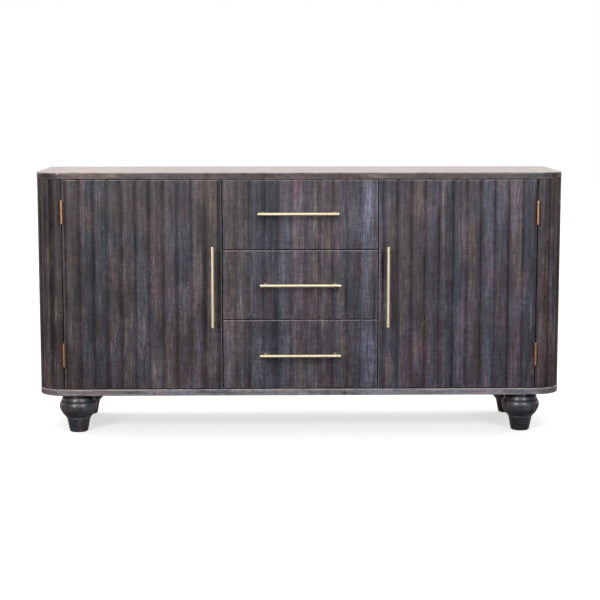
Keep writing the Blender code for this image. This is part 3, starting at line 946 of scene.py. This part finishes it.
def build_board(node, seed, tone, coat, rub, underside_shade, cast):
    """Board with rounded arrises, marked where hands and cloths rub it.

    Painted shade darkens its lower arris and underside, by the amount given.
    """
    low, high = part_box(node)
    arris = BOARD_ARRIS
    turn = [math.pi / 8 * i for i in range(5)]
    half = [(0.0, arris + 0.020, 0.0), (0.0, arris + 0.003, 0.35)]
    half += [(arris * (1 - math.cos(a)), arris * (1 - math.sin(a)), 1.0) for a in turn]
    half.append((arris + 0.0025, 0.0, 0.35))
    rings = [(low.z + rise, inset, mark) for rise, inset, mark in half]
    rings.append(((low.z + high.z) / 2, 0.0, 0.15))
    rings += [(high.z - rise, inset, mark) for rise, inset, mark in reversed(half)]
    outlines = [[(x, y, z) for x, y in board_outline(inset)] for z, inset, mark in rings]
    made = new_solid(node + "_rounded", loft(outlines))
    count = len(outlines[0])
    paint(made, "wear_and_sheen", rub * np.repeat([mark for z, inset, mark in rings], count))
    # Painted shade along the lower arris and underside, where the board overhangs the fronts.
    under = [z < low.z + arris + 0.001 for z, inset, mark in rings]
    paint(made, "hollow", underside_shade * np.repeat(under, count))
    material = stained_wood(
        "stain_" + node, "YZX", seed, tone, BOARD_WEAR, cast=cast, accents=ACCENTS[node]
    )
    lacquer(material, coat, BOARD_COAT_ROUGHNESS)
    finish_stained(made, "carcass", node, material)


# ---------- feet
# Radius and height of the turned outline.
FOOT_PROFILE_MM = (
    (0.0, 0.0), (22.5, 0.0), (25.8, 0.5), (27.4, 2.0), (28.3, 4.0), (29.4, 9.0),
    (31.0, 16.0), (32.2, 23.0), (33.2, 29.0), (34.5, 35.5), (36.0, 41.0), (36.5, 42.6),
    (37.3, 43.4), (38.1, 44.2), (38.2, 45.0), (37.9, 45.9), (38.6, 46.6), (40.4, 48.0),
    (43.0, 50.7), (46.0, 54.0), (49.8, 59.2), (53.2, 65.0), (55.5, 70.0), (57.0, 75.0),
    (57.8, 79.0), (58.0, 82.0), (57.7, 86.0), (56.6, 90.0), (55.2, 93.3), (53.6, 95.6),
    (52.4, 96.6), (51.2, 97.3), (51.0, 98.3), (51.4, 99.6), (51.0, 101.0), (50.4, 104.2),
    (49.4, 107.0), (47.9, 109.8), (46.0, 112.0), (44.9, 113.0), (44.5, 114.0),
    (44.5, 119.7), (0.0, 119.7),
)
FOOT_CAST = (0.97, 1.07, 1.10)
# The back feet are painted darker than the front ones: painted shade, as they stand in the
# shadow under the sideboard.
FOOT_TONE_AND_SHADE = {"front": 0.34, "back": 0.22}
FOOT_WEAR = 0.6
FOOT_COAT = 0.45
FOOT_COAT_ROUGHNESS = 0.30
FOOT_CORE = 0.004
# Height, spread and strength of the darker grooves, painted shade with some dirt, and of the
# rubbed bands: wear, and on the bead at 43.8 mm also a painted highlight.
FOOT_GROOVES_MM = ((45.7, 1.2, 1.0), (97.8, 1.5, 1.0))
FOOT_WEAR_AND_SHEEN_MM = ((76.0, 9.0, 0.30), (43.8, 1.6, 0.6))


def bands(z, marks):
    """Soft bands round a turned piece."""
    total = sum(
        strength * np.exp(-(((z - at) / spread) ** 2)) for at, spread, strength in marks
    )
    return np.clip(total, 0.0, 1.0)


def build_feet():
    profile = [(radius / 1000, z / 1000) for radius, z in FOOT_PROFILE_MM]
    profile[0] = (FOOT_CORE, 0.0)
    profile[-1] = (FOOT_CORE, profile[-1][1])
    spots = [(row, side) for row in FOOT_TONE_AND_SHADE for side in OUTWARD]
    for number, (row, side) in enumerate(spots):
        node = "foot_" + row + "_" + side
        low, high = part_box(node)
        centre = ((low.x + high.x) / 2, (low.y + high.y) / 2, 0.0)
        made = new_solid(node + "_turned", turned_part(centre, (0, 0, 1), profile, 96))
        z = places(made)[:, 2] * 1000
        # Painted shade with some dirt in the grooves; wear on the bands, with a painted
        # highlight on the bead.
        paint(made, "hollow", bands(z, FOOT_GROOVES_MM))
        paint(made, "wear_and_sheen", bands(z, FOOT_WEAR_AND_SHEEN_MM))
        material = stained_wood(
            "stain_" + node, "XYZ", 23.0 + 1.7 * number, FOOT_TONE_AND_SHADE[row], FOOT_WEAR,
            cast=FOOT_CAST,
        )
        lacquer(material, FOOT_COAT, FOOT_COAT_ROUGHNESS)
        finish_stained(made, "carcass", node, material)


# ---------- handles
def rod_profile(radius, start, end, ease, run):
    """Outline of a rod from start to end, eased at both, with a ring run in from each."""
    half = [
        (radius - ease, 0.0),
        (radius - 0.3 * ease, 0.3 * ease),
        (radius, ease),
        (radius, ease + run),
    ]
    return [(r, start + reach) for r, reach in half] + [
        (r, end - reach) for r, reach in reversed(half)
    ]


def handle_posts(node):
    """(x, z) of the two posts of a handle, and whether its bar is level."""
    low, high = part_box(node)
    middle = (low + high) / 2
    level = high.x - low.x > high.z - low.z
    step = (POST_REACH, 0.0) if level else (0.0, POST_REACH)
    spots = [(middle.x + s * step[0], middle.z + s * step[1]) for s in (-1, 1)]
    return spots, level


def face_at(x, groove):
    """Depth of the reeded face at this place."""
    return FRONT_Y + float(reed_drop(np.array([x]), groove)[0])


def build_handle(node, body, groove, seed):
    low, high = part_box(node)
    middle = (low + high) / 2
    spots, level = handle_posts(node)
    bar_y = low.y + BAR_RADIUS
    if level:
        start, along, length = (low.x, bar_y, middle.z), (1, 0, 0), high.x - low.x
    else:
        start, along, length = (middle.x, bar_y, low.z), (0, 0, 1), high.z - low.z
    radius = BAR_RADIUS / math.cos(math.pi / 48)
    parts = [turned_part(start, along, rod_profile(radius, 0.0, length, 0.0006, 0.001), 48)]
    for x, z in spots:
        reach = face_at(x, groove) - bar_y + 0.0006
        profile = [
            (POST_RADIUS, 0.001),
            (POST_RADIUS, reach - 0.0022),
            (POST_RADIUS + 0.0003, reach - 0.0016),
            (POST_RADIUS + 0.0003, reach),
        ]
        parts.append(turned_part((x, bar_y, z), (0, 1, 0), profile, 40))
    made = new_solid(node + "_bar", joined(parts))
    axes = "YZX" if level else "XYZ"
    material = metal("brass_" + node, axes, seed, BRASS, BAR_ROUGHNESS, BAR_METALLIC)
    finish_piece(made, body, material, (node,), BAR_ANGLE)


def screw_head(spot, direction, radius, rise):
    """Low domed head with a small hollow at its centre."""
    profile = [
        (radius, -0.0004),
        (radius, 0.25 * rise),
        (0.94 * radius, 0.55 * rise),
        (0.75 * radius, 0.82 * rise),
        (0.45 * radius, rise),
        (0.26 * radius, rise),
        (0.22 * radius, 0.35 * rise),
        (0.04 * radius, 0.30 * rise),
    ]
    return turned_part(spot, direction, profile, 20)


WASHER = (
    (0.0030, -0.0002), (0.0060, -0.0002), (0.0060, 0.0006), (0.0056, 0.0009), (0.0030, 0.0009),
)


def build_handle_screws(node, body, seed):
    """Washer and domed screw head behind each post, on the inner face."""
    parts = []
    for x, z in handle_posts(node)[0]:
        parts.append(turned_part((x, FACE_BACK_Y, z), (0, 1, 0), WASHER, 28))
        seat = FACE_BACK_Y + WASHER[-1][1]
        parts.append(screw_head((x, seat, z), (0, 1, 0), 0.0040, 0.0022))
    name = node + "_screws"
    finish_brass(new_solid(name, joined(parts)), name, body, seed)


def build_handles():
    fronts = [("door_" + side, side + "_door", GROOVE[side]) for side in OUTWARD]
    fronts += [("drawer_" + which, which + "_drawer", GROOVE["drawers"]) for which in DRAWERS]
    for number, (front, body, groove) in enumerate(fronts):
        node = "handle_" + front
        build_handle(node, body, groove, 1.0 + number)
        build_handle_screws(node, body, 41.0 + number)


# ---------- hinges
def knuckle_part(axis, z0, z1):
    """One knuckle: a rod with eased ends, dished towards the pin."""
    ease = 0.0003
    rod = rod_profile(KNUCKLE_RADIUS, z0, z1, ease, ease)
    profile = [(KNUCKLE_BORE, z0)] + rod + [(KNUCKLE_BORE, z1)]
    return turned_part((axis[0], axis[1], 0.0), (0, 0, 1), profile, 40)


LEAF_SCREW = (
    (0.0031, -0.0003), (0.0031, 0.00002), (0.0028, 0.00012), (0.0012, 0.00014),
    (0.0010, -0.0001), (0.0002, -0.0001),
)
LEAF_SCREW_Z = (-0.026, -0.009, 0.009, 0.026)


def build_hinges():
    for number, side in enumerate(OUTWARD):
        for place, level in enumerate(("lower", "upper")):
            stem = "hinge_" + side + "_" + level
            pin_low, pin_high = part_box(stem + "_pin")
            axis = ((pin_low.x + pin_high.x) / 2, (pin_low.y + pin_high.y) / 2)
            middle = (pin_low.z + pin_high.z) / 2
            seed = 50.0 + 7 * number + 3 * place
            for kind, toward, first, body in (
                ("_frame_leaf", OUTWARD[side], 0, "carcass"),
                ("_door_leaf", -OUTWARD[side], 1, side + "_door"),
            ):
                build_leaf(stem + kind, axis, middle, toward, first, body, seed + first)
            build_pin(stem + "_pin", axis, seed + 2)


def build_leaf(node, axis, middle, toward, first, body, seed):
    """Leaf with every other knuckle from first, and four countersunk screws."""
    x, y = axis
    pitch = 2 * HINGE_HALF / KNUCKLES
    x0, x1 = sorted((x + toward * LEAF_NEAR, x + toward * LEAF_FAR))
    plate_low = (x0, y + LEAF_FRONT, middle - HINGE_HALF + KNUCKLE_GAP)
    plate_high = (x1, y + LEAF_BACK, middle + HINGE_HALF - KNUCKLE_GAP)
    parts = [box_part(plate_low, plate_high)]
    for knuckle in range(first, KNUCKLES, 2):
        z0 = middle - HINGE_HALF + pitch * knuckle + KNUCKLE_GAP
        z1 = z0 + pitch - 2 * KNUCKLE_GAP
        parts.append(knuckle_part(axis, z0, z1))
        parts.append(box_part((x0, y + 0.0026, z0), (x1, y + LEAF_FRONT + 0.0005, z1)))
    screw_y = y + (LEAF_FRONT + LEAF_BACK) / 2
    for step in LEAF_SCREW_Z:
        spot = (x + toward * LEAF_NEAR, screw_y, middle + step)
        parts.append(turned_part(spot, (-toward, 0, 0), LEAF_SCREW, 24))
    finish_copper(new_solid(node + "_metal", joined(parts)), node, body, seed)


def build_pin(node, axis, seed):
    low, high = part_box(node)
    length = high.z - low.z
    head = [
        (0.0006, 0.0), (0.0018, 0.0002), (0.0026, 0.0006), (0.0031, 0.0011),
        (0.0032, 0.0016), (0.0032, 0.0021), (0.0015, 0.0022),
    ]
    profile = head + [(radius, length - reach) for radius, reach in reversed(head)]
    pin = turned_part((axis[0], axis[1], low.z), (0, 0, 1), profile, 32)
    finish_copper(new_solid(node + "_metal", pin), node, "carcass", seed)


# ---------- catches
PLATE_SCREW = (
    (0.0020, -0.0002), (0.0020, 0.0002), (0.0016, 0.0003), (0.0005, 0.0003), (0.0003, 0.0001),
)
CATCH_FLANGE = 0.0030


def catch_parts(low, high):
    """Case with a screwed flange above it and two pole bars in front."""
    middle = (low + high) / 2
    width = high.x - low.x
    ear = 0.24 * width
    case_low = (low.x + ear, low.y + 0.0008, low.z)
    flange_low = (low.x, low.y + 0.0030, high.z - CATCH_FLANGE)
    parts = [
        eased_part(case_low, (high.x - ear, high.y, high.z), 0.0010),
        eased_part(flange_low, tuple(high), 0.0008),
    ]
    for sign in (-1, 1):
        x = middle.x + sign * 0.14 * width
        bar_low = (x - 0.0011, low.y, low.z + 0.0016)
        bar_high = (x + 0.0011, low.y + 0.0040, high.z - 0.0016)
        parts.append(eased_part(bar_low, bar_high, 0.0003))
        spot = (middle.x + sign * (width - ear) / 2, middle.y, high.z - 0.0028)
        parts.append(screw_head(spot, (0, 0, -1), 0.0021, 0.0012))
    return parts


def strike_parts(low, high):
    """Plate on the back of the door, opposite the pole bars, with one screw."""
    middle = (low + high) / 2
    half = 0.30 * (high.x - low.x)
    z0, z1 = low.z + 0.0010, high.z - CATCH_FLANGE
    plate_low = (middle.x - half, FACE_BACK_Y - 0.0002, z0)
    plate_high = (middle.x + half, FACE_BACK_Y + 0.0006, z1)
    spot = (middle.x, FACE_BACK_Y + 0.0005, (z0 + z1) / 2)
    return [
        eased_part(plate_low, plate_high, 0.0003),
        turned_part(spot, (0, 1, 0), PLATE_SCREW, 24),
    ]


def build_catches():
    """Magnetic catches under the top board, and their plates on the doors."""
    for number, side in enumerate(OUTWARD):
        node = "catch_" + side
        low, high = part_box(node)
        made = new_solid(node + "_case", joined(catch_parts(low, high)))
        plastic = moulded_plastic("plastic_" + node)
        finish_piece(made, "carcass", plastic, (node,), FITTING_ANGLE)
        name = "strike_" + side
        made = new_solid(name, joined(strike_parts(low, high)))
        finish_brass(made, name, side + "_door", 80.0 + number)


# ---------- the inside parts
WOOD_EASE = 0.0008
SHELF_EASE = 0.0012
BACK_EASE = 0.0004
BOTTOM_EASE = 0.0003


def dress(node, material, width):
    """Eased edges and a material on a CAD piece that keeps its own shape."""
    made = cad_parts[node]
    modifier = made.modifiers.new("eased", "BEVEL")
    modifier.width = width
    modifier.segments = 2
    modifier.limit_method = "ANGLE"
    modifier.angle_limit = math.radians(40)
    modifier.harden_normals = False
    made.data.materials.clear()
    made.data.materials.append(material)
    for slot in made.material_slots:
        slot.material = material


def dress_inside():
    shelves = inside_wood("inside_level", "YZX", 61.0)
    uprights = inside_wood("inside_upright", "YXZ", 63.0)
    panel = inside_wood("inside_back", "XYZ", 65.0)
    for side in OUTWARD:
        dress("shelf_" + side, shelves, SHELF_EASE)
        dress("partition_" + side, uprights, WOOD_EASE)
    for rail in ("rail_lower", "rail_upper"):
        dress(rail, shelves, WOOD_EASE)
    dress("back_panel", panel, BACK_EASE)
    for number, which in enumerate(DRAWERS):
        lengthwise = raw_wood("raw_sides_" + which, "ZXY", 71.0 + 3 * number)
        crosswise = raw_wood("raw_across_" + which, "YZX", 72.0 + 3 * number)
        upright = raw_wood("raw_back_" + which, "ZYX", 73.0 + 3 * number)
        for side in OUTWARD:
            dress("drawer_" + which + "_side_" + side, lengthwise, WOOD_EASE)
            dress("runner_" + which + "_" + side, lengthwise, WOOD_EASE)
        dress("drawer_" + which + "_bottom", crosswise, BOTTOM_EASE)
        dress("drawer_" + which + "_back", upright, WOOD_EASE)


# ---------- camera and studio
# Fitted to the edges, gaps, feet and hinges in the photo. Angles in radians.
LENS_MM = 96.1
CAMERA_X, CAMERA_REACH, CAMERA_Z = -0.0941, 4.817, 1.0451
CAMERA_DOWN, CAMERA_RIGHT = 0.1302, 0.0193
WHITE = (1.0, 1.0, 1.0)
WARM = (1.0, 0.90, 0.85)
FLOOR_HALF = 12.0
FLOOR_GLOW = 0.58
AIM_HEIGHT = 0.46
# Azimuth, elevation, distance, width, height and watts of each light.
LIGHTS = {
    "key_left": (-27.0, 22.0, 5.0, 0.8, 2.6, 176.0),
    "key_right": (27.0, 22.0, 5.0, 0.8, 2.6, 128.0),
}


def make_camera():
    data = bpy.data.cameras.new("camera")
    data.lens = LENS_MM
    data.sensor_width = 36.0
    camera = new_object("camera", data)
    camera.location = (CAMERA_X, FRONT_Y - CAMERA_REACH, CAMERA_Z)
    camera.rotation_euler = (math.pi / 2 - CAMERA_DOWN, 0.0, -CAMERA_RIGHT)
    bpy.context.scene.camera = camera


def softbox(name, azimuth, elevation, distance, width, height, power):
    """Soft light at an angle from the front normal, aimed at the sideboard."""
    turn, rise = math.radians(azimuth), math.radians(elevation)
    aim = Vector((0.0, FRONT_Y, AIM_HEIGHT))
    out = Vector(
        (math.sin(turn) * math.cos(rise), -math.cos(turn) * math.cos(rise), math.sin(rise))
    )
    data = bpy.data.lights.new(name, "AREA")
    data.shape = "RECTANGLE"
    data.size, data.size_y = width, height
    data.energy = power
    light = new_object(name, data)
    light.location = aim + distance * out
    light.rotation_euler = (-out).to_track_quat("-Z", "Y").to_euler()


def make_world():
    """White room: bright and a little warm behind the sideboard, dim in front and below."""
    world = bpy.data.worlds.new("studio")
    bpy.context.scene.world = world
    world.use_nodes = True
    world.node_tree.nodes.clear()
    g = Graph(world.node_tree)
    sky = g.split(g.node("ShaderNodeTexCoord").outputs["Generated"])
    behind, above = sky[1], sky[2]
    strength = g.times(
        g.levels(behind, -0.1, 0.35, 0.16, 1.12), g.levels(above, -0.05, 0.02, 0.18, 1.0)
    )
    strength = g.times(strength, g.levels(above, 0.30, 0.80, 1.0, 3.0))
    room = g.node("ShaderNodeBackground")
    g.put(room.inputs["Color"], g.blend(g.levels(behind, 0.0, 0.5), WHITE, WARM))
    g.put(room.inputs["Strength"], strength)
    backdrop = g.node("ShaderNodeBackground")
    g.put(backdrop.inputs["Color"], (*WHITE, 1.0))
    seen = g.node("ShaderNodeLightPath").outputs["Is Camera Ray"]
    mix = g.feed("ShaderNodeMixShader", seen, room.outputs[0], backdrop.outputs[0])
    g.put(g.node("ShaderNodeOutputWorld").inputs["Surface"], mix)


def make_floor():
    """Pale floor that glows a little, so that its shadow stays faint."""
    half = FLOOR_HALF
    corners = [(-half, -half), (half, -half), (half, half), (-half, half)]
    mesh = bpy.data.meshes.new("floor")
    mesh.from_pydata([(x, y, 0.0) for x, y in corners], [], [(0, 1, 2, 3)])
    g = Paint("floor_paint")
    haze = g.noise(g.position("XYZ", 0.0), (3, 3, 3), 2.0, 0.5)
    tone = g.levels(haze, 0.3, 0.7, 0.49, 0.51)
    g.shader.inputs["Specular IOR Level"].default_value = 0.0
    g.shader.inputs["Emission Color"].default_value = (*WHITE, 1.0)
    g.shader.inputs["Emission Strength"].default_value = FLOOR_GLOW
    g.done(g.vector(tone, tone, tone), 0.9)
    mesh.materials.append(g.material)
    floor = new_object("floor", mesh)
    floor.visible_diffuse = False
    floor.visible_glossy = False


def make_studio():
    scene = bpy.context.scene
    scene.view_settings.view_transform = "Standard"
    make_world()
    make_floor()
    for name, settings in LIGHTS.items():
        softbox(name, *settings)


# ---------- all of it
make_camera()
make_studio()
build_doors()
build_drawer_fronts()
build_columns()
build_sides()
build_board("top_board", 90.0, 0.41, coat=0.5, rub=0.40, underside_shade=0.9, cast=(1.05, 0.98, 0.93))
build_board("bottom_board", 93.0, 1.60, coat=0.0, rub=1.0, underside_shade=0.0, cast=(1.0, 1.02, 1.02))
build_feet()
build_handles()
build_hinges()
build_catches()
dress_inside()

bpy.context.view_layer.update()
